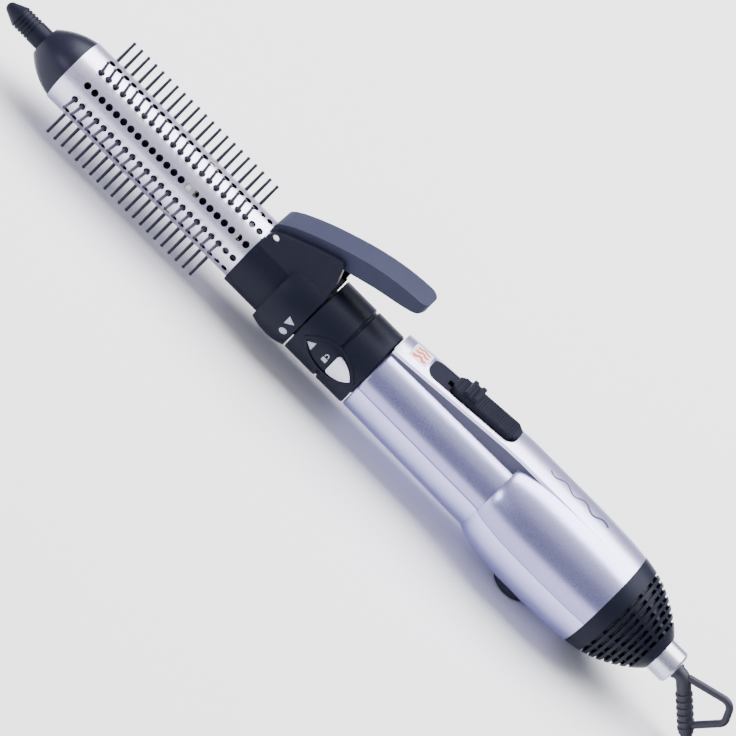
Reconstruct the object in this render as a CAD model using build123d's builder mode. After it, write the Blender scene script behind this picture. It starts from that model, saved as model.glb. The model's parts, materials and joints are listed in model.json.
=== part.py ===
from build123d import *
from math import cos, sin, tan, radians, pi, sqrt
import os

os.makedirs("parts", exist_ok=True)

# ---------------------------------------------------------------- driving dimensions, millimetres
# The tool lies along X: the cool tip points to -X and the cord leaves towards +X. The switch and the
# lever are on top (+Z). Stations are distances along the tool from the very end of the cool tip.
OVERALL_LENGTH = 406.8
AXIS_Z = 25.6                    # height of the barrel axis when the tool stands on its rest foot
REAR_RISE = 1.6                  # the handle's rear half is centred this much higher
REAR_Z = AXIS_Z + REAR_RISE

DOME_START, BARREL_START, COLLAR_START = 21.2, 37.2, 138.8
RING_START, RING_END = 157.2, 174.0
NOZZLE_START, NOZZLE_END = 174.8, 206.8
SHELL_START, CREASE, GRILLE_START = 207.2, 275.2, 336.8
FERRULE_START, FERRULE_END = 367.6, 376.8

BARREL_R, BARREL_WALL = 15.0, 0.8
BORE_R = BARREL_R - BARREL_WALL
ROWS = 12                        # rows of holes round the barrel, every second one with bristles
HOLES_PER_ROW = 23
HOLE_START, HOLE_PITCH, HOLE_R = 47.2, 4.036, 1.5

BRISTLES_PER_ROW = 21
BRISTLE_TIP_R = 25.3
CARRIERS = 6
CARRIER_WIDTH, CARRIER_IN_R, CARRIER_OUT_R = 2.0, 12.2, 13.8
CARRIER_TRAVEL = 9.0             # how far the bristles draw in
CAM_PIN_R = 12.8                 # distance of the carriers' cross pins from the axis
CAM_STATIONS = (43.9, 136.2)
ROD_R = 1.0

PIVOT_STATION, PIVOT_UP = 142.8, 18.3
PIN_R = 1.5
LEVER_HALF = 7.4
LEVER_TURN = 12.0                # degrees that the lever turns when it is pressed
CRANK_STATION = 150.4            # where the lever's crank grips the cam rod
CRANK_BACK = CRANK_STATION - PIVOT_STATION

# How far the crank draws the cam rod forwards over the lever's whole turn.
CAM_TRAVEL = PIVOT_UP * sin(radians(LEVER_TURN)) + CRANK_BACK * (1 - cos(radians(LEVER_TURN)))

SEAM_Z = 26.4
WALL = 2.0
STRIP_HALF = 8.6
STRIP_TURN = 5.0                 # slope of the control strip's front half, degrees
SWITCH_TRAVEL = 11.2
FAN_START, FAN_END, FAN_R = 284.0, 297.0, 17.6
FOOT_STATION, FOOT_R = 307.0, 9.0
CORD_D = 5.0

AXIS_X = Axis((0, 0, AXIS_Z), (1, 0, 0))
REAR_X = Axis((0, 0, REAR_Z), (1, 0, 0))


# ---------------------------------------------------------------- helpers
def at(station):
    """X of a station measured from the cool tip."""
    return station - OVERALL_LENGTH / 2


def outline(points, axis=AXIS_X):
    """Flat face in the XZ plane from (station, height above the axis) points."""
    with BuildSketch(Plane((0, 0, axis.position.Z), x_dir=(1, 0, 0), z_dir=(0, -1, 0))) as face:
        with BuildLine():
            Polyline(*[(at(s), r) for s, r in points], close=True)
        make_face()
    return face.sketch


def turn(points, axis=AXIS_X, mode=Mode.ADD):
    """Revolve (station, radius) points about an axis along X, in the open part."""
    revolve(outline(points, axis), axis=axis, mode=mode)


def tube(start, end, outer, inner, axis=AXIS_X, mode=Mode.ADD):
    """Plain tube between two stations."""
    turn([(start, inner), (end, inner), (end, outer), (start, outer)], axis, mode)


def rod(start, end, radius, axis=AXIS_X, mode=Mode.ADD):
    """Plain round bar between two stations."""
    turn([(start, 0), (end, 0), (end, radius), (start, radius)], axis, mode)


def slab(points, half_width, axis=AXIS_X, mode=Mode.ADD):
    """Side outline of (station, height above the axis) points, as thick as 2 x half_width along Y."""
    extrude(outline(points, axis), amount=half_width, both=True, mode=mode)


def radial_plane(angle, station=0.0, radius=0.0, axis=AXIS_X):
    """Plane at an angle about the axis from +Z towards -Y: x along the tool, z pointing outwards."""
    out = Vector(0, -sin(radians(angle)), cos(radians(angle)))
    origin = Vector(at(station), 0, axis.position.Z) + out * radius
    return Plane(origin, x_dir=(1, 0, 0), z_dir=out)


def block(start, end, low, high, width, y=0.0, axis=AXIS_X, mode=Mode.ADD):
    """Rectangular block from station and height-above-axis limits."""
    middle = ((at(start) + at(end)) / 2, y, axis.position.Z + (low + high) / 2)
    with Locations(middle):
        Box(end - start, width, high - low, mode=mode)


def save(part, name, bodies=1):
    """Label a finished part and write it."""
    solids = part.part.solids()
    if len(solids) != bodies:
        print(f"{name}: {len(solids)} solids, expected {bodies}")
    part.part.label = name
    export_step(part.part, f"parts/{name}.step")


# ---------------------------------------------------------------- brush attachment
# Barrel: thin tube pierced by twelve rows of holes, air holes and bristle holes by turns.
with BuildPart() as brush_barrel:
    tube(BARREL_START, COLLAR_START + 3.0, BARREL_R, BORE_R)
    for row in range(ROWS // 2):
        angle = row * 360 / ROWS
        for hole in range(HOLES_PER_ROW):
            with Locations(radial_plane(angle, HOLE_START + hole * HOLE_PITCH)):
                Cylinder(HOLE_R, 2 * BARREL_R + 2, mode=Mode.SUBTRACT)
save(brush_barrel, "brush_barrel")

# Dome that closes the cool end: an ogive shell with a short register inside the barrel.
DOME_NOSE_R, DOME_R, DOME_IN_R = 6.8, 14.6, 13.0
REGISTER_END = BARREL_START + 0.6
with BuildPart() as tip_dome:
    with BuildSketch(Plane((0, 0, AXIS_Z), x_dir=(1, 0, 0), z_dir=(0, -1, 0))):
        with BuildLine():
            Line((at(DOME_START), 1.2), (at(DOME_START), DOME_NOSE_R))
            ThreePointArc((at(DOME_START), DOME_NOSE_R), (at(28.6), 11.9), (at(BARREL_START), DOME_R))
            Line((at(BARREL_START), DOME_R), (at(BARREL_START), BORE_R))
            Line((at(BARREL_START), BORE_R), (at(REGISTER_END), BORE_R))
            Line((at(REGISTER_END), BORE_R), (at(REGISTER_END), DOME_IN_R))
            Line((at(REGISTER_END), DOME_IN_R), (at(36.6), DOME_IN_R))
            ThreePointArc((at(36.6), DOME_IN_R), (at(29.6), 10.2), (at(23.4), 6.0))
            Line((at(23.4), 6.0), (at(23.4), 1.2))
            Line((at(23.4), 1.2), (at(DOME_START), 1.2))
        make_face()
    revolve(axis=AXIS_X)
save(tip_dome, "tip_dome")

# Cool tip: a ribbed knob with a rounded nose, held by a screw through the dome.
KNOB_R, RIB_START, RIB_PITCH, RIBS = 4.9, 8.0, 1.7, 4
NOSE_R, NOSE_SLOPE = 2.5, radians(23.2)
nose_back, nose_up = NOSE_R * sin(NOSE_SLOPE), NOSE_R * cos(NOSE_SLOPE)
with BuildPart() as tip_knob:
    with BuildSketch(Plane((0, 0, AXIS_Z), x_dir=(1, 0, 0), z_dir=(0, -1, 0))):
        with BuildLine():
            Line((at(0), 0), (at(DOME_START), 0))
            Line((at(DOME_START), 0), (at(DOME_START), KNOB_R))
            Line((at(DOME_START), KNOB_R), (at(7.2), KNOB_R))
            Line((at(7.2), KNOB_R), (at(NOSE_R - nose_back), nose_up))
            ThreePointArc((at(NOSE_R - nose_back), nose_up),
                          (at(NOSE_R - NOSE_R * cos(radians(33))), NOSE_R * sin(radians(33))), (at(0), 0))
        make_face()
    revolve(axis=AXIS_X)
    for rib in range(RIBS + 1):
        groove = RIB_START + rib * RIB_PITCH - 0.3
        tube(groove, groove + 0.7, KNOB_R + 1, KNOB_R - 0.5, mode=Mode.SUBTRACT)
    rod(13.0, DOME_START, 1.2, mode=Mode.SUBTRACT)
save(tip_knob, "tip_knob")

with BuildPart() as tip_screw:
    rod(13.0, 23.4, 1.2)
    rod(23.4, 25.4, 2.6)
    block(24.6, 25.4, -0.3, 0.3, 6, mode=Mode.SUBTRACT)
save(tip_screw, "tip_screw")

# Collar: the block that carries the barrel, with two cheeks that hold the lever's pin.
COLLAR_R, CHEEK_IN = 16.4, 7.8
LATCH_START = 169.6              # the handle's latch reaches this far into the socket
LEVER_FRONT = [(138.8, 16.3), (138.8, 20.0), (139.4, 21.4), (140.6, 22.6), (144.6, 25.4)]
LEVER_TOP = [(144.6, 25.4), (148.8, 27.6), (156.8, 31.3), (164.8, 34.4), (172.8, 37.2), (184.8, 40.3),
             (196.8, 42.0), (204.8, 42.3)]
CHEEK_TOP = [(139.6, 13.0), (139.6, 17.4), (141.0, 19.6), (144.6, 21.8), (148.8, 23.6), (156.8, 27.2),
             (164.8, 30.2), (168.8, 31.2), (170.4, 29.8), (173.4, 20.5), (173.8, 13.0)]
with BuildPart() as brush_collar:
    tube(COLLAR_START, RING_START, COLLAR_R, BARREL_R)
    tube(COLLAR_START + 3.0, RING_START, BARREL_R, BORE_R)
    tube(RING_START, RING_END, BARREL_R, 12.9)
    with BuildSketch(Plane((0, 0, AXIS_Z + 10.0))):
        with Locations((at((COLLAR_START + RING_END) / 2), 0)):
            Rectangle(RING_END - COLLAR_START, 24.4)
    extrude(amount=24, taper=5.2)
    slab([(130, -30), (180, -30), (180, 13)] + CHEEK_TOP[::-1] + [(130, 13)], 30, mode=Mode.INTERSECT)
    rod(COLLAR_START - 1, COLLAR_START + 3.0, BARREL_R, mode=Mode.SUBTRACT)
    rod(COLLAR_START + 3.0, RING_START, BORE_R, mode=Mode.SUBTRACT)
    rod(RING_START, RING_END, 12.9, mode=Mode.SUBTRACT)
    block(130, 180, 15.8, 45, 2 * CHEEK_IN, mode=Mode.SUBTRACT)
    block(144.6, 157.0, 8, 20, 6.0, mode=Mode.SUBTRACT)
    block(139.8, 145.8, 15.4, 20, 5.6, mode=Mode.SUBTRACT)
    block(LATCH_START - 0.6, RING_END + 1, -3.4, 3.4, 3.4, y=-14.5, mode=Mode.SUBTRACT)
    with Locations(Location((at(PIVOT_STATION), 0, AXIS_Z + PIVOT_UP), (90, 0, 0))):
        Cylinder(PIN_R, 40, mode=Mode.SUBTRACT)
save(brush_collar, "brush_collar")

# Bulged ring round the attachment's socket; it is notched for the cheeks.
with BuildPart() as collar_ring:
    with BuildSketch(Plane((0, 0, AXIS_Z), x_dir=(1, 0, 0), z_dir=(0, -1, 0))):
        with BuildLine():
            Line((at(RING_START), BARREL_R), (at(RING_START), 18.6))
            ThreePointArc((at(RING_START), 18.6), (at(165.4), 20.0), (at(RING_END), 18.4))
            Line((at(RING_END), 18.4), (at(RING_END), BARREL_R))
            Line((at(RING_END), BARREL_R), (at(RING_START), BARREL_R))
        make_face()
    revolve(axis=AXIS_X)
    add(brush_collar.part, mode=Mode.SUBTRACT)
    block(150, 180, 10, 45, 2 * CHEEK_IN + 0.2, mode=Mode.SUBTRACT)
    block(LATCH_START - 0.6, RING_END + 1, -3.4, 3.4, 3.4, y=-14.5, mode=Mode.SUBTRACT)
save(collar_ring, "collar_ring")

SLOT_WIDTH = CARRIER_WIDTH + 0.24


def guide(start, end, name):
    """Disc in the barrel with a radial slot for each bristle carrier and a bore for the cam rod."""
    with BuildPart() as disc:
        rod(start, end, BORE_R)
        rod(start - 1, end + 1, ROD_R + 0.06, mode=Mode.SUBTRACT)
        for row in range(CARRIERS):
            with Locations(radial_plane(30 + 60 * row, (start + end) / 2, 3.0 + BORE_R / 2)):
                Box(end - start + 2, SLOT_WIDTH, BORE_R, mode=Mode.SUBTRACT)
    save(disc, name)


guide(BARREL_START + 2.6, BARREL_START + 4.2, "front_guide")
guide(102.1, 106.9, "mid_guide")
guide(129.4, 131.4, "rear_guide")

# Lever pin, headed at one end, and its torsion spring between the lever's ears.
with BuildPart() as lever_pin:
    with Locations(Location((at(PIVOT_STATION), 0, AXIS_Z + PIVOT_UP), (90, 0, 0))):
        Cylinder(PIN_R, 21.6)
save(lever_pin, "lever_pin")

SPRING_R, SPRING_WIRE = 2.3, 0.35
with BuildPart() as lever_spring:
    with BuildLine() as coil:
        Helix(0.9, 4.5, SPRING_R, center=(at(PIVOT_STATION), -2.2, AXIS_Z + PIVOT_UP), direction=(0, 1, 0))
    with BuildSketch(Plane(coil.line @ 0, z_dir=coil.line % 0)):
        Circle(SPRING_WIRE)
    sweep(is_frenet=True)
save(lever_spring, "lever_spring")


# ---------------------------------------------------------------- lever and cam rod
LEVER_UNDER = [(204.8, 42.3), (204.8, 38.4), (203.6, 37.0), (196.8, 35.0), (184.8, 32.2), (172.8, 28.6),
               (164.8, 26.4), (156.8, 23.8), (152.0, 21.2), (143.4, 16.3), (138.8, 16.3)]
with BuildPart() as lever:
    with BuildSketch(Plane((0, LEVER_HALF, AXIS_Z), x_dir=(1, 0, 0), z_dir=(0, -1, 0))):
        with BuildLine():
            Polyline(*[(at(station), up) for station, up in LEVER_FRONT])
            Spline(*[(at(station), up) for station, up in LEVER_TOP])
            Polyline(*[(at(station), up) for station, up in LEVER_UNDER])
        make_face()
    extrude(amount=2 * LEVER_HALF)
    fillet(lever.edges().filter_by(Axis.Z).group_by(Axis.X)[-1], 4.6)
    fillet(lever.edges().group_by(Axis.X)[-1], 0.25)
    block(148.9, 151.9, -2.4, 25.0, 4.8)
    block(148.0, 152.8, -3.6, 4.6, 2.6, mode=Mode.SUBTRACT)
    block(139.9, 146.8, 15.0, 21.2, 5.4, mode=Mode.SUBTRACT)
    with Locations(Location((at(PIVOT_STATION), 0, AXIS_Z + PIVOT_UP), (90, 0, 0))):
        Cylinder(PIN_R + 0.06, 40, mode=Mode.SUBTRACT)
    with Locations(Location((at(CRANK_STATION), 0, AXIS_Z), (90, 0, 0))):
        Cylinder(1.0, 10, mode=Mode.SUBTRACT)
save(lever, "lever")

with BuildPart() as crank_pin:
    with Locations(Location((at(CRANK_STATION), 0, AXIS_Z), (90, 0, 0))):
        Cylinder(1.0, 4.8)
save(crank_pin, "crank_pin")

FIN_HALF, SLOT_HALF = 1.37, 0.71


def cam_offset(radius):
    """How far behind the rest station the cam slot is at a radius."""
    return (CAM_PIN_R - radius) * CAM_TRAVEL / CARRIER_TRAVEL


def cam_outline(station, high, low, half, foot=0.0):
    """Slanted strip of the cam between two radii; a foot carries it down to the rod."""
    top, bottom = station + cam_offset(high), station + cam_offset(low)
    points = [(top - half, high), (top + half, high), (bottom + half, low), (bottom - half, low)]
    if foot:
        points[3:3] = [(bottom + half, foot), (bottom - half, foot)]
    return [(at(s), r) for s, r in points]


with BuildPart() as cam_rod:
    rod(33.0, 148.0, ROD_R)
    block(147.6, 153.2, -3.4, 2.2, 2.2)
    block(CRANK_STATION - 1.15, CRANK_STATION + 1.15, -2.5, 1.25, 4.0, mode=Mode.SUBTRACT)
    for station in CAM_STATIONS:
        for row in range(CARRIERS):
            out = radial_plane(30 + 60 * row).z_dir
            fin_plane = Plane((0, 0, AXIS_Z), x_dir=(1, 0, 0), z_dir=Vector(1, 0, 0).cross(out))
            with BuildSketch(fin_plane):
                with BuildLine():
                    Polyline(*cam_outline(station, 13.8, 2.2, FIN_HALF, foot=0.4), close=True)
                make_face()
                with BuildLine():
                    Polyline(*cam_outline(station, 13.4, 3.2, SLOT_HALF), close=True)
                make_face(mode=Mode.SUBTRACT)
            extrude(amount=0.3, both=True)
save(cam_rod, "cam_rod")

# Bristle carriers: a bar under each row, a cross pin in a yoke at each end, and the bristles.
BAR_START, BAR_END = 40.0, 139.2
for row in range(CARRIERS):
    angle = 30 + 60 * row
    bar_mid = (CARRIER_IN_R + CARRIER_OUT_R) / 2
    with BuildPart() as carrier:
        with Locations(radial_plane(angle, (BAR_START + BAR_END) / 2, bar_mid)):
            Box(BAR_END - BAR_START, CARRIER_WIDTH, CARRIER_OUT_R - CARRIER_IN_R)
        for station in CAM_STATIONS:
            with Locations(radial_plane(angle, station + 0.1, bar_mid)):
                Box(4.6, 1.0, 4, mode=Mode.SUBTRACT)
            with Locations(radial_plane(angle, station, CAM_PIN_R)):
                Cylinder(0.5, CARRIER_WIDTH, rotation=(90, 0, 0))
        for bristle in range(BRISTLES_PER_ROW):
            station = HOLE_START + bristle * HOLE_PITCH
            with Locations(radial_plane(angle, station, CARRIER_OUT_R - 0.2)):
                Cone(0.8, 0.6, 11.0, align=(Align.CENTER, Align.CENTER, Align.MIN))
            with Locations(radial_plane(angle, station, BRISTLE_TIP_R - 0.75)):
                Sphere(0.75)
    save(carrier, f"bristle_carrier_{row + 1}")


# ---------------------------------------------------------------- nozzle end of the handle
NOZZLE_R, GROOVE = 18.2, 191.8
EYE_START, EYE_END, EYE_HALF = 178.0, 205.6, 7.2
BUTTON_START, BUTTON_END, BUTTON_HALF = 193.4, 203.6, 5.0
BUTTON_TRAVEL = 1.2


def eye(inset):
    """Pointed oval seen from -Y, cut through the near side of the nozzle rings."""
    start, end, half = at(EYE_START + 2 * inset), at(EYE_END - 2 * inset), EYE_HALF - inset
    middle = (start + end) / 2
    with BuildPart() as cutter:
        with BuildSketch(Plane((0, -12.0, AXIS_Z), x_dir=(1, 0, 0), z_dir=(0, -1, 0))):
            with BuildLine():
                ThreePointArc((start, 0), (middle, half), (end, 0))
                ThreePointArc((end, 0), (middle, -half), (start, 0))
            make_face()
        extrude(amount=14)
    return cutter.part


def button_shape(inset):
    """Release button's outline, flat towards the brush and pointed towards the cord."""
    start, end, half = at(BUTTON_START + inset), at(BUTTON_END - inset), BUTTON_HALF - inset
    with BuildPart() as cutter:
        with BuildSketch(Plane((0, -15.6, AXIS_Z), x_dir=(1, 0, 0), z_dir=(0, -1, 0))):
            with BuildLine():
                Line((start, -half + 1.2), (start, half - 1.2))
                ThreePointArc((start, half - 1.2), (start + 0.4, half - 0.4), (start + 1.2, half))
                ThreePointArc((start + 1.2, half), (start + 6.4, half - 1.5), (end, 0))
                ThreePointArc((end, 0), (start + 6.4, 1.5 - half), (start + 1.2, -half))
                ThreePointArc((start + 1.2, -half), (start + 0.4, 0.4 - half), (start, 1.2 - half))
            make_face()
        extrude(amount=8)
    return cutter.part


with BuildPart() as nozzle_ring:
    turn([(NOZZLE_START, 12.5), (NOZZLE_START, 17.9), (175.2, NOZZLE_R), (GROOVE - 0.9, NOZZLE_R),
          (GROOVE - 0.4, 17.7), (GROOVE - 0.4, 17.2), (198.0, 17.2), (198.0, 16.4), (176.8, 16.4),
          (176.8, 12.5)])
    add(eye(0), mode=Mode.SUBTRACT)
    block(170, 180, -3.4, 3.4, 2.8 + BUTTON_TRAVEL, y=-14.6, mode=Mode.SUBTRACT)
save(nozzle_ring, "nozzle_ring")

with BuildPart() as handle_collar:
    turn([(GROOVE + 0.4, 17.2), (GROOVE + 0.4, 17.7), (GROOVE + 0.9, NOZZLE_R), (206.0, NOZZLE_R),
          (NOZZLE_END, 17.6), (NOZZLE_END, 16.4), (198.0, 16.4), (198.0, 17.2)])
    add(eye(0), mode=Mode.SUBTRACT)
save(handle_collar, "handle_collar")

with BuildPart() as bezel_ridge:
    tube(176, 207, 18.7, 16.4)
    add(eye(0), mode=Mode.INTERSECT)
    add(eye(0.8), mode=Mode.SUBTRACT)
with BuildPart() as release_bezel:
    tube(176, 207, 18.05, 16.4)
    add(eye(0), mode=Mode.INTERSECT)
    add(bezel_ridge.part)
    add(button_shape(-0.25), mode=Mode.SUBTRACT)
save(release_bezel, "release_bezel")

with BuildPart() as release_button:
    tube(190, 207, 18.9, 15.6)
    add(button_shape(0), mode=Mode.INTERSECT)
save(release_button, "release_button")

with BuildPart() as release_latch:
    block(LATCH_START, 202.0, -2.9, 2.9, 1.3, y=-14.95)
save(release_latch, "release_latch")

with BuildPart() as latch_spring:
    block(180.0, 192.0, -2.4, 2.4, 0.35, y=-12.7)
save(latch_spring, "latch_spring")

with BuildPart() as nozzle_tube:
    tube(158.4, 211.0, 12.5, 11.4)
    tube(208.4, 209.8, 16.0, 12.5)
    block(158.4, 159.6, -0.5, 0.5, 23.4)
    block(158.4, 159.6, -11.7, 11.7, 1.0)
save(nozzle_tube, "nozzle_tube")

# ---------------------------------------------------------------- handle shells
BULGE = [(275.2, 20.2), (276.8, 21.1), (280.8, 22.3), (284.8, 23.2), (288.8, 23.8), (292.8, 24.15),
         (298.0, 24.4), (320.8, 24.4), (328.8, 24.0), (336.8, 23.3)]
STRIP_TOP = [(207.2, 20.9), (265.6, 26.0), (274.0, 26.4), (300.0, 26.4), (318.0, 26.1), (336.8, 24.9)]
STRIP_THICK = 1.4


def handle_solid(inset, overlap=0.0):
    """Solid of the whole grip, smaller all round by the inset."""
    front = [(SHELL_START, 0), (SHELL_START, 17.4 - inset), (SHELL_START + 0.8, 18.0 - inset),
             (CREASE + 1.6 + overlap, 18.8 - inset), (CREASE + 1.6 + overlap, 0)]
    with BuildPart() as grip:
        turn(front)
        with BuildSketch(Plane((0, 0, REAR_Z), x_dir=(1, 0, 0), z_dir=(0, -1, 0))):
            with BuildLine():
                Line((at(CREASE + overlap), 0), (at(CREASE + overlap), BULGE[0][1] - inset))
                Spline(*[(at(s + (overlap if s == CREASE else 0)), r - inset) for s, r in BULGE])
                Line((at(GRILLE_START), BULGE[-1][1] - inset), (at(GRILLE_START), 0))
                Line((at(GRILLE_START), 0), (at(CREASE + overlap), 0))
            make_face()
        revolve(axis=REAR_X)
    return grip.part


def strip_solid(drop):
    """Everything under the crowned top of the control strip, lowered by the drop."""
    with BuildPart() as crown:
        turn([(SHELL_START, 0)] + [(s, r - drop) for s, r in STRIP_TOP] + [(GRILLE_START, 0)])
    return crown.part


with BuildPart() as strip_seat:
    block(SHELL_START, GRILLE_START, 10, 40, 2 * STRIP_HALF)
    add(strip_solid(STRIP_THICK), mode=Mode.SUBTRACT)

with BuildPart() as grip_shell:
    add(handle_solid(0))
    add(handle_solid(WALL, overlap=1.2), mode=Mode.SUBTRACT)

SEAM_GAP, SEAM_DEPTH = 0.3, 0.5
with BuildPart() as seam_groove:
    block(200, 340, SEAM_Z - AXIS_Z - SEAM_GAP, SEAM_Z - AXIS_Z, 80)
    add(handle_solid(SEAM_DEPTH), mode=Mode.SUBTRACT)
with BuildPart() as lower_shell:
    add(grip_shell.part)
    block(200, 340, SEAM_Z - AXIS_Z, 40, 80, mode=Mode.SUBTRACT)
    add(seam_groove.part, mode=Mode.SUBTRACT)
    with Locations((at(FOOT_STATION), 0, 0)):
        Cylinder(FOOT_R, 9.0, mode=Mode.SUBTRACT)
    for station, low in ((216.0, 18.2), (272.0, 18.8)):
        with Locations((at(station), 0, AXIS_Z - low)):
            Cylinder(2.2, 2.0, mode=Mode.SUBTRACT)
            Cylinder(1.25, 12.0, mode=Mode.SUBTRACT)
save(lower_shell, "lower_shell")

with BuildPart() as upper_shell:
    add(grip_shell.part)
    block(200, 340, -40, SEAM_Z - AXIS_Z, 80, mode=Mode.SUBTRACT)
    block(200, 298.0, 10, 40, 2 * (STRIP_HALF - 0.4), mode=Mode.SUBTRACT)
    add(strip_seat.part, mode=Mode.SUBTRACT)
save(upper_shell, "upper_shell")

# Slate side walls between the strip and the shell, on both sides.
with BuildPart() as strip_side_walls:
    add(strip_solid(STRIP_THICK))
    block(SHELL_START, 298.0, 14.5, 30, 2 * (STRIP_HALF - 0.4), mode=Mode.INTERSECT)
    block(200, 340, 10, 40, 2 * (STRIP_HALF - 1.5), mode=Mode.SUBTRACT)
    rod(FAN_START - 2, FAN_END + 2, FAN_R + 0.8, REAR_X, mode=Mode.SUBTRACT)
save(strip_side_walls, "strip_side_walls", bodies=2)

# Slide switch: its track lies in the sloping front half of the strip.
TRACK_END, TRACK_HALF = 266.8, 7.0
SLIDER_LENGTH, SLIDER_REST_GAP, SLIDER_END_GAP = 33.0, 0.2, 0.8
TRACK_START = TRACK_END - SLIDER_REST_GAP - SLIDER_LENGTH - SWITCH_TRAVEL - SLIDER_END_GAP
SLOPE = radians(STRIP_TURN)


def slope_plane(station, drop=0.0):
    """Plane on the strip's sloping top: x rises towards the cord, z stands square to the strip."""
    height = 20.9 + (station - SHELL_START) * tan(SLOPE)
    along, out = Vector(cos(SLOPE), 0, sin(SLOPE)), Vector(-sin(SLOPE), 0, cos(SLOPE))
    return Plane(Vector(at(station), 0, AXIS_Z + height) - out * drop, x_dir=along, z_dir=out)


TRACK_DROP = 1.5                 # the track's floor below the crown of the strip
track_middle = (TRACK_START + TRACK_END) / 2
with BuildPart() as control_strip:
    block(SHELL_START, GRILLE_START, 10, 40, 2 * STRIP_HALF)
    add(strip_solid(0), mode=Mode.INTERSECT)
    add(strip_solid(STRIP_THICK), mode=Mode.SUBTRACT)
    with BuildSketch(slope_plane(track_middle, 5)):
        RectangleRounded(TRACK_END - TRACK_START, 2 * TRACK_HALF, 4.5)
    extrude(amount=10, mode=Mode.SUBTRACT)
save(control_strip, "control_strip")

with BuildPart() as switch_track:
    with BuildSketch(slope_plane(track_middle, 2.9)):
        RectangleRounded(TRACK_END - TRACK_START, 2 * TRACK_HALF, 4.5)
    extrude(amount=2.9 - TRACK_DROP)
    with BuildSketch(slope_plane(track_middle, 4)):
        Rectangle(26.0, 3.4)
    extrude(amount=5, mode=Mode.SUBTRACT)
save(switch_track, "switch_track")

slider_middle = TRACK_END - SLIDER_REST_GAP - SLIDER_LENGTH / 2
POINTER_STATION = 241.9
with BuildPart() as slide_button:
    with BuildSketch(slope_plane(slider_middle, TRACK_DROP - 0.15)):
        with BuildLine():
            Polyline((-16.5, -4.2), (-14.3, -6.4), (13.4, -6.4), (16.5, -3.0), (16.5, 3.0),
                     (13.4, 6.4), (-14.3, 6.4), (-16.5, 4.2), close=True)
        make_face()
    extrude(amount=3.1)
    chamfer(slide_button.faces().sort_by(Axis.Z)[-1].edges(), 0.5)
    for rib in range(17):
        with Locations(slope_plane(POINTER_STATION + 5.2 + rib * 1.05, -1.75)):
            Box(0.45, 14, 0.7, mode=Mode.SUBTRACT)
    for rib in range(3):
        with Locations(slope_plane(POINTER_STATION - 8.0 + rib * 1.6, -1.75)):
            Box(0.45, 14, 0.7, mode=Mode.SUBTRACT)
    with Locations(slope_plane(POINTER_STATION, -2.6)):
        Box(6.4, 11.6, 2.4)
    with Locations(slope_plane(POINTER_STATION, -4.0)):
        Cylinder(1.25, 14, rotation=(90, 0, 0), mode=Mode.SUBTRACT)
    for side in (-1, 1):
        with Locations(slope_plane(POINTER_STATION + side * 3.9, -3.9)):
            Box(1.9, 14, 1.9, rotation=(0, 45, 0), mode=Mode.SUBTRACT)
    with Locations(slope_plane(slider_middle, TRACK_DROP + 0.9)):
        Box(8.0, 2.8, 3.2)
save(slide_button, "slide_button")

with BuildPart() as rest_foot:
    with Locations((at(FOOT_STATION), 0, 0)):
        Cylinder(FOOT_R, 4.5, align=(Align.CENTER, Align.CENTER, Align.MIN))
    chamfer(rest_foot.faces().sort_by(Axis.Z)[0].edges(), 0.8)
save(rest_foot, "rest_foot")

with BuildPart() as shell_screws:
    for station, low in ((216.0, 18.2), (272.0, 18.8)):
        with Locations((at(station), 0, AXIS_Z - low + 0.5)):
            Cylinder(2.1, 1.0)
        with Locations((at(station), 0, AXIS_Z - low + 2.7)):
            Cylinder(1.2, 3.4)
save(shell_screws, "shell_screws", bodies=2)

# Rear grille: a ribbed dome with ring slots crossed by webs, where the fan draws its air.
GRILLE = [(336.8, 23.3), (342.8, 22.3), (348.8, 20.7), (354.4, 18.2), (360.4, 14.7), (365.6, 10.6),
          (367.6, 8.6)]
GRILLE_CAVITY = [(336.8, 0), (336.8, 20.9), (342.8, 19.9), (348.8, 17.9), (354.4, 15.2), (360.4, 11.2),
                 (364.6, 7.2), (364.6, 0)]
SLOTS, SLOT_START, SLOT_PITCH, SLOT_LENGTH, SLOT_DEPTH = 7, 344.0, 2.92, 1.5, 1.0
WEBS, WEB_WIDTH = 16, 1.6


def grille_radius(station):
    """Radius of the grille's smooth outside, between its outline points."""
    for (s0, r0), (s1, r1) in zip(GRILLE, GRILLE[1:]):
        if s0 <= station <= s1:
            return r0 + (r1 - r0) * (station - s0) / (s1 - s0)
    return GRILLE[-1][1]


with BuildPart() as grille_slots:
    for slot in range(SLOTS):
        start = SLOT_START + slot * SLOT_PITCH
        tube(start, start + SLOT_LENGTH, 26, 6.5, REAR_X)
    for web in range(WEBS):
        with Locations(radial_plane(web * 360 / WEBS, 355, 16, REAR_X)):
            Box(40, WEB_WIDTH, 24, mode=Mode.SUBTRACT)

with BuildPart() as rear_grille:
    with BuildSketch(Plane((0, 0, REAR_Z), x_dir=(1, 0, 0), z_dir=(0, -1, 0))):
        with BuildLine():
            Spline(*[(at(s), r) for s, r in GRILLE])
            Polyline((at(FERRULE_START), GRILLE[-1][1]), (at(FERRULE_START), 0), (at(GRILLE_START), 0),
                     (at(GRILLE_START), GRILLE[0][1]))
        make_face()
    revolve(axis=REAR_X)
    turn(GRILLE_CAVITY, REAR_X, mode=Mode.SUBTRACT)
    rod(360, 370, 5.6, REAR_X, mode=Mode.SUBTRACT)
    for slot in range(SLOTS):
        start = SLOT_START + slot * SLOT_PITCH
        floor = grille_radius(start + SLOT_LENGTH / 2) - SLOT_DEPTH
        tube(start, start + SLOT_LENGTH, 30, floor, REAR_X, mode=Mode.SUBTRACT)
    add(grille_slots.part, mode=Mode.SUBTRACT)
save(rear_grille, "rear_grille")

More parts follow.
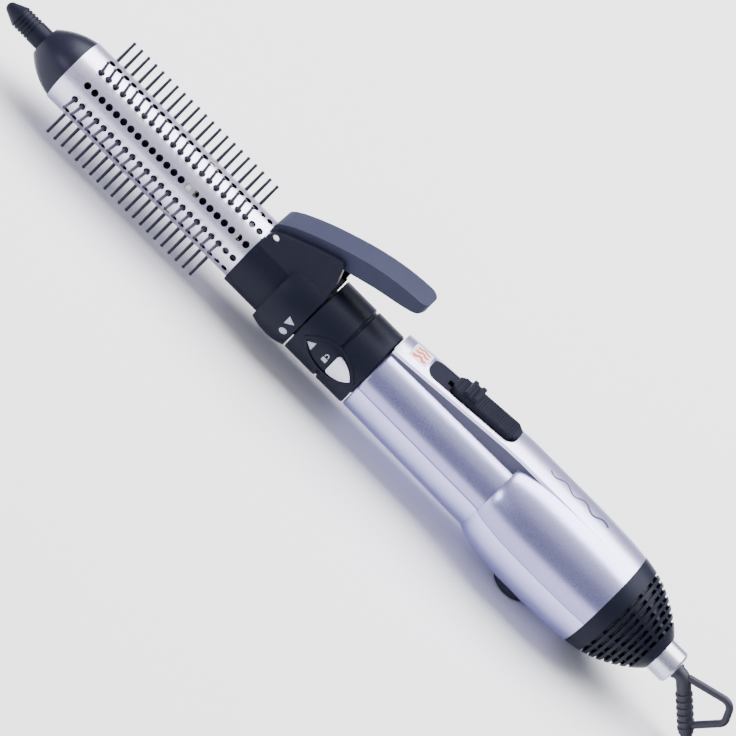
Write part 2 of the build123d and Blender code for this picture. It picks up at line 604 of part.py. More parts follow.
# Fine mesh that lines the grille behind its slots.
MESH = [(338.0, 20.3), (342.8, 19.5), (348.8, 17.5), (354.4, 14.8), (360.4, 10.8), (363.4, 8.0)]
MESH_THICK = 0.8
with BuildPart() as dust_filter:
    turn(MESH + [(station - 0.3, r - MESH_THICK) for station, r in MESH[::-1]], REAR_X)
save(dust_filter, "dust_filter")

# Silver ferrule in which the cord guard turns.
GUARD_ROOT_R = 3.6
with BuildPart() as cord_ferrule:
    turn([(365.4, GUARD_ROOT_R + 0.06), (365.4, 5.6), (FERRULE_START, 5.6), (FERRULE_START, 7.8),
          (375.6, 7.8), (376.5, 7.3), (FERRULE_END, 6.4), (FERRULE_END, GUARD_ROOT_R + 0.06)], REAR_X)
save(cord_ferrule, "cord_ferrule")

# ---------------------------------------------------------------- inside the handle
MOTOR_START, MOTOR_END, MOTOR_R, SHAFT_R = 301.0, 331.0, 13.8, 1.2
with BuildPart() as motor:
    rod(MOTOR_START, MOTOR_END, MOTOR_R, REAR_X)
    fillet(motor.edges().filter_by(GeomType.CIRCLE), 1.0)
    rod(298.6, MOTOR_START, 4.0, REAR_X)
    for side in (-1, 1):
        block(MOTOR_END, 334.6, -1.6, 1.6, 0.8, y=side * 7.0, axis=REAR_X)
    rod(290, 316, SHAFT_R + 0.05, REAR_X, mode=Mode.SUBTRACT)
save(motor, "motor")

with BuildPart() as motor_mount:
    tube(305.0, 309.0, 22.4, 20.6, REAR_X)
    tube(304.0, 310.0, MOTOR_R + 1.4, MOTOR_R, REAR_X)
    for spoke in range(6):
        with Locations(radial_plane(30 + spoke * 60, 307, 17.8, REAR_X)):
            Box(4.0, 1.8, 6.2)
save(motor_mount, "motor_mount")

with BuildPart() as motor_shaft:
    rod(FAN_START + 0.6, 315.0, SHAFT_R, REAR_X)
save(motor_shaft, "motor_shaft")

BLADES = 7
with BuildPart() as fan_impeller:
    turn([(FAN_START, SHAFT_R), (FAN_START, 4.5), (285.5, 6.0), (FAN_END - 1.0, 7.0), (FAN_END - 1.0, SHAFT_R)],
         REAR_X)
    for blade in range(BLADES):
        with Locations(radial_plane(blade * 360 / BLADES, 290.6, 11.4, REAR_X)):
            Box(13.0, 1.0, 11.8, rotation=(0, 0, 36))
    rod(FAN_START - 10, FAN_START, 30, REAR_X, mode=Mode.SUBTRACT)
    tube(FAN_START - 1, FAN_END + 1, 30, FAN_R, REAR_X, mode=Mode.SUBTRACT)
save(fan_impeller, "fan_impeller")

# Heater: wire wound on a mica cross inside a thin shield, with a thermostat at its cool end.
HEATER_START, HEATER_END = 213.0, 268.0
with BuildPart() as heat_shield:
    tube(HEATER_START - 1.0, HEATER_END + 4.0, 13.4, 12.9)
save(heat_shield, "heat_shield")

with BuildPart() as heater_core:
    for turned in (0, 60, 120):
        with Locations(radial_plane(turned, (HEATER_START + HEATER_END) / 2, 0)):
            Box(HEATER_END - HEATER_START, 0.8, 20.0)
    rod(HEATER_START + 1, HEATER_END - 1, 2.2)
save(heater_core, "heater_core")

HEATER_TURNS, WIRE_R = 9, 0.4
WIRE_PITCH = 5.0
with BuildPart() as heater_wire:
    with BuildLine() as coil:
        Helix(WIRE_PITCH, WIRE_PITCH * HEATER_TURNS, 10.5, center=(at(HEATER_START + 4), 0, AXIS_Z),
              direction=(1, 0, 0))
    with BuildSketch(Plane(coil.line @ 0, z_dir=coil.line % 0)):
        Circle(WIRE_R)
    sweep(is_frenet=True)
save(heater_wire, "heater_wire")

with BuildPart() as thermostat:
    rod(HEATER_END + 0.4, HEATER_END + 2.6, 4.2)
    block(HEATER_END, HEATER_END + 0.4, -3.0, 3.0, 8.0)
save(thermostat, "thermostat")

# Switch electrics above the heater.
with BuildPart() as circuit_board:
    block(222, 272, 13.6, 14.8, 10.0)
save(circuit_board, "circuit_board")

with BuildPart() as switch_module:
    block(228, 262, 14.8, 17.0, 8.0)
save(switch_module, "switch_module")

LEAD_R, LEAD_UP = 0.7, 18.6
with BuildPart() as internal_leads:
    for y in (-2.0, 2.0):
        lead_points = [(at(270.0), y, AXIS_Z + 15.6), (at(276.0), y, AXIS_Z + 15.6),
                       (at(282.0), y, REAR_Z + LEAD_UP + 1.6), (at(330.0), y, REAR_Z + LEAD_UP),
                       (at(336.0), y, REAR_Z + 14.0)]
        with BuildLine():
            lead_line = Polyline(*lead_points)
        with BuildSketch(Plane(lead_points[0], z_dir=(1, 0, 0))):
            Circle(LEAD_R)
        sweep(path=lead_line, transition=Transition.ROUND)
save(internal_leads, "internal_leads", bodies=2)

# ---------------------------------------------------------------- cord swivel, loop and cord
GUARD_BEND, GUARD_TURN, GUARD_R = 381.0, 45.0, 3.1
GUARD_END = (398.8, 9.6)         # station and height of the guard's end
with BuildPart() as cord_guard:
    with BuildLine() as guard_path:
        FilletPolyline((at(378.0), 0, REAR_Z), (at(381.2), 0, REAR_Z), (at(GUARD_END[0]), 0, GUARD_END[1]),
                       radius=4.0)
    with BuildSketch(Plane((at(378.0), 0, REAR_Z), z_dir=(1, 0, 0))):
        Circle(GUARD_R)
    sweep(path=guard_path.line)
    rod(362.6, 378.4, GUARD_ROOT_R, REAR_X)
    rod(362.6, 364.4, 4.8, REAR_X)
    for ring in range(6):
        back = 2.2 + ring * 3.0
        centre = Vector(at(GUARD_END[0]) - back * cos(pi / 4), 0, GUARD_END[1] + back * sin(pi / 4))
        with Locations(Plane(centre, z_dir=(1, 0, -1))):
            Cylinder(GUARD_R + 0.45, 1.1)
save(cord_guard, "cord_guard")

LOOP_R = 1.6
loop_points = [(at(383.0), 0, REAR_Z + 1.5), (at(402.05), 0, REAR_Z + 7.3), (at(406.1), 0, REAR_Z - 1.7),
               (at(397.0), 0, REAR_Z - 14.9)]
with BuildPart() as hanging_loop:
    with BuildLine() as loop_path:
        FilletPolyline(*loop_points, radius=[4.2, 3.6])
    with BuildSketch(Plane(loop_points[0], z_dir=loop_path.line % 0)):
        Circle(LOOP_R)
    sweep(path=loop_path.line)
    add(cord_guard.part, mode=Mode.SUBTRACT)
save(hanging_loop, "hanging_loop")

# The cord comes out of the guard, runs along the floor and is put away in a round coil. Every arc is
# as large as its two runs allow.
FLOOR_CORD_Z = CORD_D / 2
COIL_STATION, COIL_BASE = 455.0, 0.8
COIL_OUT_R, COIL_IN_R, COIL_LAYERS = 35.25, 17.75, 4
COIL_HEIGHT = COIL_LAYERS * CORD_D
COIL_JOIN_Y = CORD_D / 2 - COIL_OUT_R
LEAD_ROUTE = [(at(GUARD_END[0]), 0, GUARD_END[1]), (at(405.9), 0, FLOOR_CORD_Z),
              (at(415.0), -11.0, FLOOR_CORD_Z), (at(428.0), COIL_JOIN_Y, FLOOR_CORD_Z),
              (at(COIL_STATION), COIL_JOIN_Y, COIL_BASE + CORD_D / 2)]
PLUG_START, PLUG_Y, PLUG_Z = 510.0, -14.2, 7.0
TAIL_ROUTE = [(at(COIL_STATION), COIL_JOIN_Y, COIL_BASE + COIL_HEIGHT - CORD_D / 2),
              (at(474.0), COIL_JOIN_Y, 15.0), (at(494.0), -15.5, 7.5), (at(PLUG_START), PLUG_Y, PLUG_Z)]


def route_radii(route, name):
    """Largest arc for each corner: 0.45 of the shorter run over the tangent of half the turn."""
    radii = []
    for before, corner, after in zip(route, route[1:], route[2:]):
        run_in, run_out = Vector(corner) - Vector(before), Vector(after) - Vector(corner)
        half_turn = radians(run_in.get_angle(run_out)) / 2
        radii.append(0.45 * min(run_in.length, run_out.length) / tan(half_turn))
    print(name, "radii", [round(r, 1) for r in radii])
    return radii


def cord_tube(route, name):
    """Tube of the cord's own diameter along straight runs joined by tangent arcs."""
    with BuildPart() as cord:
        with BuildLine() as path:
            FilletPolyline(*route, radius=route_radii(route, name))
        with BuildSketch(Plane(route[0], z_dir=path.line % 0)):
            Circle(CORD_D / 2)
        sweep(path=path.line)
    length = sum(edge.length for edge in path.line.edges())
    ratio = cord.part.volume / (pi * CORD_D ** 2 / 4 * length)
    print(name, "length", round(length, 1), "volume ratio", round(ratio, 3))
    save(cord, name)


cord_tube(LEAD_ROUTE, "cord_lead")
cord_tube(TAIL_ROUTE, "cord_tail")

with BuildPart() as cord_coil:
    with Locations((at(COIL_STATION), 0, COIL_BASE)):
        Cylinder(COIL_OUT_R, COIL_HEIGHT, align=(Align.CENTER, Align.CENTER, Align.MIN))
        Cylinder(COIL_IN_R, COIL_HEIGHT, align=(Align.CENTER, Align.CENTER, Align.MIN), mode=Mode.SUBTRACT)
    fillet(cord_coil.edges().filter_by(GeomType.CIRCLE), 2.0)
save(cord_coil, "cord_coil")

TIE_WIDTH, TIE_THICK = 9.0, 0.8
tie_middle = at(COIL_STATION) + (COIL_OUT_R + COIL_IN_R) / 2
tie_height = COIL_HEIGHT + 2 * TIE_THICK
with BuildPart() as cord_tie:
    with Locations((tie_middle, 0, tie_height / 2)):
        Box(COIL_OUT_R - COIL_IN_R + 2 * TIE_THICK, TIE_WIDTH, tie_height)
    add(cord_coil.part, mode=Mode.SUBTRACT)
save(cord_tie, "cord_tie")

# Flat two-pin plug: tapered relief, flat body and two round pins.
PLUG_BODY_START, PLUG_BODY_END, PIN_END = 522.0, 546.0, 565.0
PLUG_WIDTH, PLUG_HEIGHT, PLUG_PIN_R, PLUG_PITCH = 35.3, 13.7, 2.0, 19.0
with BuildPart() as plug_body:
    with BuildSketch(Plane.YZ.offset(at(PLUG_START))):
        with Locations((PLUG_Y, PLUG_Z)):
            Circle(3.4)
    with BuildSketch(Plane.YZ.offset(at(PLUG_BODY_START + 1))):
        with Locations((PLUG_Y, PLUG_Z)):
            Circle(4.8)
    loft()
    with BuildSketch(Plane((at(PLUG_BODY_START), PLUG_Y, PLUG_Z - PLUG_HEIGHT / 2))):
        with BuildLine():
            Polyline((0, -6.5), (14.0, -PLUG_WIDTH / 2), (24.0, -PLUG_WIDTH / 2), (24.0, PLUG_WIDTH / 2),
                     (14.0, PLUG_WIDTH / 2), (0, 6.5), close=True)
        make_face()
    extrude(amount=PLUG_HEIGHT)
    fillet(plug_body.edges().filter_by(Axis.Z), 1.8)
    chamfer(plug_body.faces().sort_by(Axis.Z)[-1].edges(), 0.9)
    chamfer(plug_body.faces().sort_by(Axis.Z)[0].edges(), 0.9)
save(plug_body, "plug_body")

with BuildPart() as plug_pins:
    for side in (-1, 1):
        plane = Plane((at(PLUG_BODY_END), PLUG_Y + side * PLUG_PITCH / 2, PLUG_Z), z_dir=(1, 0, 0))
        with BuildSketch(plane):
            Circle(PLUG_PIN_R)
        extrude(amount=PIN_END - PLUG_BODY_END)
    chamfer(plug_pins.edges().group_by(Axis.X)[-1], 0.6)
save(plug_pins, "plug_pins", bodies=2)
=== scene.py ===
import json
from math import cos, pi, radians, sin

import bmesh
import bpy
from mathutils import Matrix, Vector


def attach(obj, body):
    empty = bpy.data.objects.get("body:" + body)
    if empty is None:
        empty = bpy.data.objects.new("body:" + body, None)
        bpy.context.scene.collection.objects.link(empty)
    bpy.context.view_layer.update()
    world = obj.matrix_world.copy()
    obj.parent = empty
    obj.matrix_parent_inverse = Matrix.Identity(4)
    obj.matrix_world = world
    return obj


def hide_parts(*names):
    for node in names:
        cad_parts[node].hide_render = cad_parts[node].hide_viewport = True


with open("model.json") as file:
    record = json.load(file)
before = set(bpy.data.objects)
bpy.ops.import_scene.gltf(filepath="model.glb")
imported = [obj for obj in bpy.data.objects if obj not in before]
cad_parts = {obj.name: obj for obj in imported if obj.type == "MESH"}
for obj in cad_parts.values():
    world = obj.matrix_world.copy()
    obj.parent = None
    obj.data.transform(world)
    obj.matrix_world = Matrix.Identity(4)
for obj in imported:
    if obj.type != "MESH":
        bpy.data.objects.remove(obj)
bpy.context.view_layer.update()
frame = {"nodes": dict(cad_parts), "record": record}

MM = 0.001

# ---------------------------------------------------------------- the frame's own places, metres
OVERALL_LENGTH = 0.4068
AXIS_Z = 0.0256
CORD_D = 0.005


def at(station_mm):
    """X of a station, measured in millimetres from the end of the cool tip."""
    return station_mm * MM - OVERALL_LENGTH / 2


# ---------------------------------------------------------------- camera
CAMERA_LIFT = radians(32.0)
CAMERA_ROLL = radians(45.1)
CAMERA_DISTANCE = 1.6
CAMERA_AIM = at(204.8)           # the middle of the tool
CAMERA_DROP = 0.00076            # the view's middle lies this far below the barrel's axis
SENSOR_WIDTH = 36.0              # millimetres
FRAME_WIDTH = 0.2944             # what the picture spans at the tool


def make_camera():
    """Long lens, square to the tool, rolled so that the tool runs down the picture's diagonal."""
    along = Vector((1, 0, 0))
    across = Vector((0, sin(CAMERA_LIFT), cos(CAMERA_LIFT)))
    back = along.cross(across)
    right = along * cos(CAMERA_ROLL) + across * sin(CAMERA_ROLL)
    up = across * cos(CAMERA_ROLL) - along * sin(CAMERA_ROLL)
    target = Vector((CAMERA_AIM, 0, AXIS_Z)) - across * CAMERA_DROP
    data = bpy.data.cameras.new("camera")
    data.sensor_width = SENSOR_WIDTH
    data.lens = SENSOR_WIDTH * CAMERA_DISTANCE / FRAME_WIDTH
    data.clip_end = 20
    camera = bpy.data.objects.new("camera", data)
    bpy.context.scene.collection.objects.link(camera)
    rotation = Matrix((right, up, back)).transposed().to_4x4()
    camera.matrix_world = Matrix.Translation(target + back * CAMERA_DISTANCE) @ rotation
    bpy.context.scene.camera = camera


make_camera()

# ---------------------------------------------------------------- cord
GUARD_END = (at(398.8), 0, 0.0096)
FLOOR_CORD_Z = 0.0025
COIL_X = at(455.0)
COIL_LAYER_Z = 0.0033            # centre of the lowest turns
COIL_OUT_R, COIL_IN_R = 0.03275, 0.02025
COIL_TURNS = 2.5                 # in each layer
COIL_LAYERS = 4
COIL_STEPS = 24                  # control points to a turn
PLUG_START = (at(510.0), -0.0142, 0.007)


def cord_route():
    """Control points: out of the guard, down to the floor, into the coil, and out to the plug."""
    points = [GUARD_END, (at(405.9), 0, FLOOR_CORD_Z), (at(415.0), -0.011, FLOOR_CORD_Z),
              (at(428.0), -COIL_OUT_R, FLOOR_CORD_Z)]
    per_layer = round(COIL_TURNS * COIL_STEPS)
    for step in range(COIL_LAYERS * per_layer + 1):
        layer, turned = divmod(step, per_layer)
        shrink = turned / per_layer if layer % 2 == 0 else 1 - turned / per_layer
        radius = COIL_OUT_R + (COIL_IN_R - COIL_OUT_R) * shrink
        angle = -pi / 2 + 2 * pi * step / COIL_STEPS
        climb = 0
        for change in range(1, COIL_LAYERS):
            climb += min(1, max(0, (step - change * per_layer) / (COIL_STEPS / 2) + 0.5))
        points.append((COIL_X + radius * cos(angle), radius * sin(angle), COIL_LAYER_Z + CORD_D * climb))
    points += [(at(474.0), -COIL_OUT_R, 0.015), (at(494.0), -0.0155, 0.0075), PLUG_START]
    return points


def nurbs_curve(name, points, radius, resolution=8):
    """Round cord on one open NURBS spline."""
    data = bpy.data.curves.new(name, "CURVE")
    data.dimensions = "3D"
    data.bevel_depth = 1.0       # times each point's own radius
    data.bevel_resolution = 6
    data.resolution_u = resolution
    data.use_fill_caps = True
    spline = data.splines.new("NURBS")
    spline.points.add(len(points) - 1)
    for target, point in zip(spline.points, points):
        target.co = (*point, 1)
        target.radius = radius
    spline.order_u = 3
    spline.use_endpoint_u = True
    curve = bpy.data.objects.new(name, data)
    bpy.context.scene.collection.objects.link(curve)
    return curve


cord = nurbs_curve("mains_cord", cord_route(), CORD_D / 2)
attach(cord, "swivel")
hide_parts("cord_lead", "cord_tail", "cord_coil")


# ---------------------------------------------------------------- materials
MIX_FACTOR, MIX_A, MIX_B, MIX_RESULT = 0, 6, 7, 2    # a Mix node's colour sockets, by number


def link(tree, source, target):
    tree.links.new(source, target)


def moulded(name, colour, rough, metallic=0.0, coat=0.0, grain=2600.0, relief=0.02, tint=0.06, mottle=60.0,
            rough_spread=0.08, specular=0.5, rib_pitch=0.0):
    """Moulded or lacquered surface: faint mottling, fine grain relief and uneven roughness."""
    material = bpy.data.materials.new(name)
    material.use_nodes = True
    tree = material.node_tree
    shader = tree.nodes["Principled BSDF"]
    shader.inputs["Metallic"].default_value = metallic
    shader.inputs["Coat Weight"].default_value = coat
    shader.inputs["Coat Roughness"].default_value = 0.12
    shader.inputs["Specular IOR Level"].default_value = specular
    shader.inputs["Specular Tint"].default_value = (0.78, 0.80, 1.0, 1)
    place = tree.nodes.new("ShaderNodeTexCoord")

    cloud = tree.nodes.new("ShaderNodeTexNoise")
    cloud.inputs["Scale"].default_value = mottle
    cloud.inputs["Detail"].default_value = 4
    link(tree, place.outputs["Object"], cloud.inputs["Vector"])
    ramp = tree.nodes.new("ShaderNodeValToRGB")
    ramp.color_ramp.elements[0].position = 0.3
    ramp.color_ramp.elements[1].position = 0.7
    ramp.color_ramp.elements[0].color = (*[c * (1 - tint) for c in colour], 1)
    ramp.color_ramp.elements[1].color = (*[min(1, c * (1 + tint)) for c in colour], 1)
    link(tree, cloud.outputs["Fac"], ramp.inputs["Fac"])
    link(tree, ramp.outputs["Color"], shader.inputs["Base Color"])

    fine = tree.nodes.new("ShaderNodeTexNoise")
    fine.inputs["Scale"].default_value = grain
    fine.inputs["Detail"].default_value = 2
    link(tree, place.outputs["Object"], fine.inputs["Vector"])
    spread = tree.nodes.new("ShaderNodeMapRange")
    spread.inputs["To Min"].default_value = rough - rough_spread
    spread.inputs["To Max"].default_value = rough + rough_spread
    link(tree, fine.outputs["Fac"], spread.inputs["Value"])
    link(tree, spread.outputs["Result"], shader.inputs["Roughness"])
    bump = tree.nodes.new("ShaderNodeBump")
    bump.inputs["Strength"].default_value = 0.6
    bump.inputs["Distance"].default_value = relief * MM
    link(tree, fine.outputs["Fac"], bump.inputs["Height"])
    link(tree, bump.outputs["Normal"], shader.inputs["Normal"])
    if rib_pitch:
        ribs = tree.nodes.new("ShaderNodeTexWave")
        ribs.inputs["Scale"].default_value = pi / (10 * rib_pitch * MM)
        link(tree, place.outputs["Object"], ribs.inputs["Vector"])
        ridge = tree.nodes.new("ShaderNodeBump")
        ridge.inputs["Distance"].default_value = 0.2 * MM
        link(tree, ribs.outputs["Fac"], ridge.inputs["Height"])
        link(tree, ridge.outputs["Normal"], bump.inputs["Normal"])
    return material


def paint_flank_shade(material):
    """Painted shade on the flanks just above the seam, fading out towards the crown: the base colour is
    darkened by the height of the surface normal, standing in for a dark reflected band.
    """
    tree = material.node_tree
    shader = tree.nodes["Principled BSDF"]
    plain = shader.inputs["Base Color"].links[0].from_socket
    facing = tree.nodes.new("ShaderNodeTexCoord")
    split = tree.nodes.new("ShaderNodeSeparateXYZ")
    link(tree, facing.outputs["Normal"], split.inputs["Vector"])
    ramp = tree.nodes.new("ShaderNodeValToRGB")
    ramp.color_ramp.elements[0].position = 0.0
    # darkest painted shade, where the normal is level just above the seam
    ramp.color_ramp.elements[0].color = (0.50, 0.50, 0.56, 1)
    ramp.color_ramp.elements[1].position = 0.72
    ramp.color_ramp.elements[1].color = (1, 1, 1, 1)
    level = tree.nodes.new("ShaderNodeMapRange")
    level.inputs["From Min"].default_value = -0.06
    level.inputs["From Max"].default_value = 0.9
    link(tree, split.outputs["Z"], level.inputs["Value"])
    link(tree, level.outputs["Result"], ramp.inputs["Fac"])
    under = tree.nodes.new("ShaderNodeMath")
    under.operation = "GREATER_THAN"
    under.inputs[1].default_value = -0.03
    link(tree, split.outputs["Z"], under.inputs[0])
    blend = tree.nodes.new("ShaderNodeMix")
    blend.data_type = "RGBA"
    blend.blend_type = "MULTIPLY"
    link(tree, under.outputs["Value"], blend.inputs[MIX_FACTOR])
    link(tree, plain, blend.inputs[MIX_A])
    link(tree, ramp.outputs["Color"], blend.inputs[MIX_B])
    link(tree, blend.outputs[MIX_RESULT], shader.inputs["Base Color"])


def paint_shade_inside(material, radius):
    """Painted shade on whatever lies nearer to the barrel's axis than the given radius: hole walls and the
    barrel's inside take a near-black colour for the shade they sit in.
    """
    tree = material.node_tree
    shader = tree.nodes["Principled BSDF"]
    outer = shader.inputs["Base Color"].links[0].from_socket
    place = tree.nodes.new("ShaderNodeNewGeometry")
    offset = tree.nodes.new("ShaderNodeVectorMath")
    offset.operation = "SUBTRACT"
    offset.inputs[1].default_value = (0, 0, AXIS_Z)
    link(tree, place.outputs["Position"], offset.inputs[0])
    flatten = tree.nodes.new("ShaderNodeVectorMath")
    flatten.operation = "MULTIPLY"
    flatten.inputs[1].default_value = (0, 1, 1)
    link(tree, offset.outputs["Vector"], flatten.inputs[0])
    reach = tree.nodes.new("ShaderNodeVectorMath")
    reach.operation = "LENGTH"
    link(tree, flatten.outputs["Vector"], reach.inputs[0])
    outside = tree.nodes.new("ShaderNodeMath")
    outside.operation = "GREATER_THAN"
    outside.inputs[1].default_value = radius
    link(tree, reach.outputs["Value"], outside.inputs[0])
    choose = tree.nodes.new("ShaderNodeMix")
    choose.data_type = "RGBA"
    # near-black painted shade for the inside of the barrel and its holes
    choose.inputs[MIX_A].default_value = (0.010, 0.010, 0.014, 1)
    link(tree, outside.outputs["Value"], choose.inputs[MIX_FACTOR])
    link(tree, outer, choose.inputs[MIX_B])
    link(tree, choose.outputs[MIX_RESULT], shader.inputs["Base Color"])


BARREL_SKIN_R = 0.0147           # anything nearer to the axis is inside the barrel
MATERIALS = {
    "barrel": moulded("barrel_anodised", (0.74, 0.70, 0.88), 0.30, metallic=0.85, grain=1500, relief=0.01),
    "black_plastic": moulded("satin_black", (0.008, 0.009, 0.017), 0.42, relief=0.05, specular=0.12),
    "dome": moulded("dome_black", (0.011, 0.011, 0.021), 0.34, relief=0.03, specular=0.2),
    "bristle": moulded("nylon_black", (0.016, 0.016, 0.024), 0.32, relief=0.01),
    "lever": moulded("lever_slate", (0.028, 0.030, 0.056), 0.55, grain=3200, relief=0.06, specular=0.15),
    "shell": moulded("lilac_lacquer", (0.50, 0.49, 0.80), 0.26, metallic=0.92, coat=0.5, grain=5200,
                     relief=0.012, tint=0.03),
    "strip": moulded("pale_lacquer", (0.58, 0.57, 0.80), 0.30, metallic=0.85, coat=0.4, grain=5200,
                     relief=0.012, tint=0.03),
    "slate": moulded("slate_plastic", (0.055, 0.053, 0.095), 0.45, relief=0.04),
    "silver": moulded("silver_lacquer", (0.56, 0.56, 0.68), 0.28, metallic=0.85, coat=0.3, relief=0.01),
    "steel": moulded("bright_steel", (0.60, 0.60, 0.62), 0.25, metallic=1.0, relief=0.006),
    "brass": moulded("plain_brass", (0.72, 0.55, 0.27), 0.25, metallic=1.0, relief=0.006),
    "white_plastic": moulded("heat_resistant_white", (0.72, 0.70, 0.62), 0.5),
    "mica": moulded("mica_board", (0.42, 0.36, 0.26), 0.6, mottle=400, tint=0.2),
    "board": moulded("board_green", (0.03, 0.16, 0.06), 0.4),
    "filter": moulded("filter_mesh", (0.05, 0.05, 0.055), 0.8, grain=1400, relief=0.3),
    "rubber": moulded("soft_black", (0.018, 0.018, 0.024), 0.55, relief=0.05),
    "cord": moulded("cord_sheath", (0.020, 0.020, 0.027), 0.45, grain=1800, relief=0.03),
}
MATERIALS["slider"] = moulded("slider_black", (0.008, 0.009, 0.016), 0.5, specular=0.12, rib_pitch=1.2)
# painted shade inside the barrel and its bristle holes
paint_shade_inside(MATERIALS["barrel"], BARREL_SKIN_R)
# painted shade on the shell's flanks
paint_flank_shade(MATERIALS["shell"])
INK_LIGHT = moulded("ink_pale", (0.42, 0.43, 0.50), 0.5, relief=0.005)
INK_WHITE = moulded("ink_white", (0.80, 0.80, 0.82), 0.5, relief=0.005)
INK_ORANGE = moulded("ink_orange", (0.72, 0.10, 0.05), 0.5, relief=0.005)
INK_VIOLET = moulded("ink_violet", (0.05, 0.04, 0.12), 0.5, relief=0.005)

DARKER = {"slide_button": "slider", "cam_rod": "black_plastic", "nozzle_tube": "black_plastic"}


def dress_frame():
    """Every CAD node takes the material of its slot; a few that read darker take black plastic."""
    for subpart in frame["record"]["subparts"]:
        node = frame["nodes"][subpart["node"]]
        finish = DARKER.get(subpart["node"], subpart["material_slot"])
        node.data.materials.clear()
        node.data.materials.append(MATERIALS[finish])


dress_frame()
cord.data.materials.append(MATERIALS["cord"])


# ---------------------------------------------------------------- printed marks
INK_LIFT, INK_DEPTH = 0.04, 0.12  # a mark stands this proud and reaches this deep, millimetres
INK_STEP = 0.8                    # edges longer than this are halved, millimetres
INK_SPLITS = 3


STRIP_START, STRIP_START_R, STRIP_CROWN_R = 207.2, 20.9, 26.4
STRIP_CLIMB = 5.1 / 58.4          # the front half of the strip gains this for each millimetre
RING_MIDDLE, RING_HALF, RING_R, RING_BULGE = 165.6, 8.4, 20.0, 1.6


def strip_radius(station):
    """Crown radius of the control strip about the barrel axis, in millimetres."""
    return min(STRIP_CROWN_R, STRIP_START_R + (station - STRIP_START) * STRIP_CLIMB)


def ring_radius(station):
    """Bulged ring's radius, in millimetres."""
    return RING_R - RING_BULGE * ((station - RING_MIDDLE) / RING_HALF) ** 2


def on_side(station, up, radius):
    """Point on the -Y flank of a round body."""
    angle = up / radius
    return Vector((at(station), -radius * cos(angle) * MM, AXIS_Z + radius * sin(angle) * MM))


def on_top(station, across, radius):
    """Point on the crown of the control strip; across is positive towards -Y."""
    angle = across / radius
    return Vector((at(station), -radius * sin(angle) * MM, AXIS_Z + radius * cos(angle) * MM))


def printed(name, shapes, place, radius_of, material, body):
    """Thin inlaid marks: each shape is an outline of (station, offset) points laid on a round surface."""
    mesh = bmesh.new()
    for shape in shapes:
        mesh.faces.new([mesh.verts.new((s, o, INK_LIFT)) for s, o in shape])
    bmesh.ops.triangulate(mesh, faces=mesh.faces[:])
    for split in range(INK_SPLITS):
        long_edges = [edge for edge in mesh.edges if edge.calc_length() > INK_STEP]
        bmesh.ops.subdivide_edges(mesh, edges=long_edges, cuts=1)
        bmesh.ops.triangulate(mesh, faces=mesh.faces[:])
    made = bmesh.ops.extrude_face_region(mesh, geom=mesh.faces[:])["geom"]
    for corner in made:
        if isinstance(corner, bmesh.types.BMVert):
            corner.co.z = -INK_DEPTH
    for corner in mesh.verts:
        s, o, lift = corner.co
        corner.co = place(s, o, radius_of(s) + lift)
    bmesh.ops.recalc_face_normals(mesh, faces=mesh.faces[:])
    data = bpy.data.meshes.new(name)
    mesh.to_mesh(data)
    mesh.free()
    piece = bpy.data.objects.new(name, data)
    bpy.context.scene.collection.objects.link(piece)
    data.materials.append(material)
    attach(piece, body)


def ribbon(centre, width):
    """Outline of a line of constant width about a row of (station, offset) points."""
    left, right = [], []
    for i, point in enumerate(centre):
        before, after = centre[max(i - 1, 0)], centre[min(i + 1, len(centre) - 1)]
        along = Vector((after[0] - before[0], after[1] - before[1])).normalized()
        side = Vector((-along.y, along.x)) * width / 2
        left.append((point[0] + side.x, point[1] + side.y))
        right.append((point[0] - side.x, point[1] - side.y))
    return left + right[::-1]


def disc(station, offset, radius, steps=24):
    """Outline of a round dot."""
    return [(station + radius * cos(2 * pi * i / steps), offset + radius * sin(2 * pi * i / steps))
            for i in range(steps)]


def wave(start, end, offset, height, cycles, steps=40):
    """Centreline of a sine wave that runs along the tool."""
    return [(start + (end - start) * i / steps, offset + height * sin(2 * pi * cycles * i / steps))
            for i in range(steps + 1)]


printed("ring_arrow", [[(168.6, 2.6), (168.6, -1.4), (172.3, 0.6)]], on_side, ring_radius,
        INK_LIGHT, "brush")
printed("ring_dot", [disc(170.5, -5.2, 1.7)], on_side, ring_radius, INK_LIGHT, "brush")
BEZEL_FLOOR = 18.05
printed("bezel_arrow", [[(180.2, -0.8), (183.6, 1.3), (183.6, -2.9)]], on_side, lambda s: BEZEL_FLOOR,
        INK_LIGHT, "handle")
shackle = [(190.2 + 0.8 * sin(t * pi / 12), 0.3 + 1.1 * cos(t * pi / 12)) for t in range(-7, 8)]
printed("bezel_padlock", [[(189.0, -2.4), (191.4, -2.4), (191.4, -0.5), (189.0, -0.5)], ribbon(shackle, 0.4)],
        on_side, lambda s: BEZEL_FLOOR, INK_LIGHT, "handle")
printed("heat_label", [[(212.0, -5.4), (220.6, -5.4), (220.6, 5.4), (212.0, 5.4)]], on_top,
        lambda s: strip_radius(s) - 0.02, INK_WHITE, "handle")
heat_lines = [ribbon([(s, o + side) for s, o in wave(213.4, 219.4, 0, 0.7, 1.5)], 1.3) for side in (-3, 0, 3)]
printed("heat_mark", heat_lines, on_top, lambda s: strip_radius(s) + 0.03, INK_ORANGE, "handle")
printed("strip_flourish", [ribbon(wave(284.8, 316.8, 0.6, 1.5, 3.0, 90), 0.8)], on_top, strip_radius,
        INK_VIOLET, "handle")


# ---------------------------------------------------------------- floor and light
FLOOR_HALF = 3.0


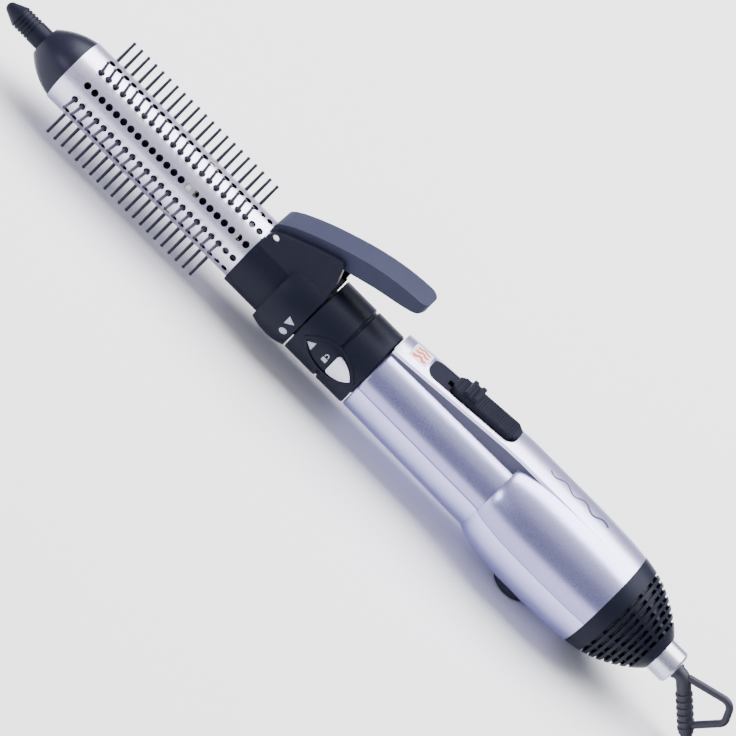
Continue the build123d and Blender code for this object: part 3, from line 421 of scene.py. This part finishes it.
def make_floor():
    """Plain pale square that the tool lies on."""
    corners = [(-FLOOR_HALF, -FLOOR_HALF, 0), (FLOOR_HALF, -FLOOR_HALF, 0),
               (FLOOR_HALF, FLOOR_HALF, 0), (-FLOOR_HALF, FLOOR_HALF, 0)]
    mesh = bpy.data.meshes.new("floor")
    mesh.from_pydata(corners, [], [(0, 1, 2, 3)])
    floor = bpy.data.objects.new("floor", mesh)
    bpy.context.scene.collection.objects.link(floor)
    mesh.materials.append(moulded("pale_floor", (0.90, 0.90, 0.92), 0.7, grain=300, relief=0.02, tint=0.01,
                                  mottle=2))


def area_light(name, place, aim, size, power, colour=(1, 1, 1)):
    """Rectangular soft box that points at the given place."""
    data = bpy.data.lights.new(name, "AREA")
    data.shape = "RECTANGLE"
    data.size, data.size_y = size
    data.energy = power
    data.color = colour
    lamp = bpy.data.objects.new(name, data)
    lamp.location = place
    lamp.rotation_euler = (Vector(aim) - Vector(place)).to_track_quat("-Z", "Y").to_euler()
    bpy.context.scene.collection.objects.link(lamp)


def make_world():
    """Pale ceiling over a dim, bluish horizon, so that polished surfaces show a dark band."""
    world = bpy.data.worlds.new("studio")
    world.use_nodes = True
    tree = world.node_tree
    background = tree.nodes["Background"]
    place = tree.nodes.new("ShaderNodeTexCoord")
    split = tree.nodes.new("ShaderNodeSeparateXYZ")
    tree.links.new(place.outputs["Generated"], split.inputs["Vector"])
    ramp = tree.nodes.new("ShaderNodeValToRGB")
    ramp.color_ramp.elements[0].position = 0.55
    ramp.color_ramp.elements[0].color = (0.30, 0.30, 0.42, 1)
    ramp.color_ramp.elements[1].position = 0.9
    ramp.color_ramp.elements[1].color = (0.95, 0.95, 1.0, 1)
    tree.links.new(split.outputs["Z"], ramp.inputs["Fac"])
    tree.links.new(ramp.outputs["Color"], background.inputs["Color"])
    background.inputs["Strength"].default_value = 0.9
    bpy.context.scene.world = world


make_floor()
make_world()
area_light("softbox_top", (0.0, 0.45, 1.5), (0, 0.05, 0.02), (2.6, 1.6), 120)
area_light("softbox_low", (-0.9, -0.9, 0.45), (0, 0, 0.0), (0.5, 0.3), 5, (0.92, 0.93, 1.0))
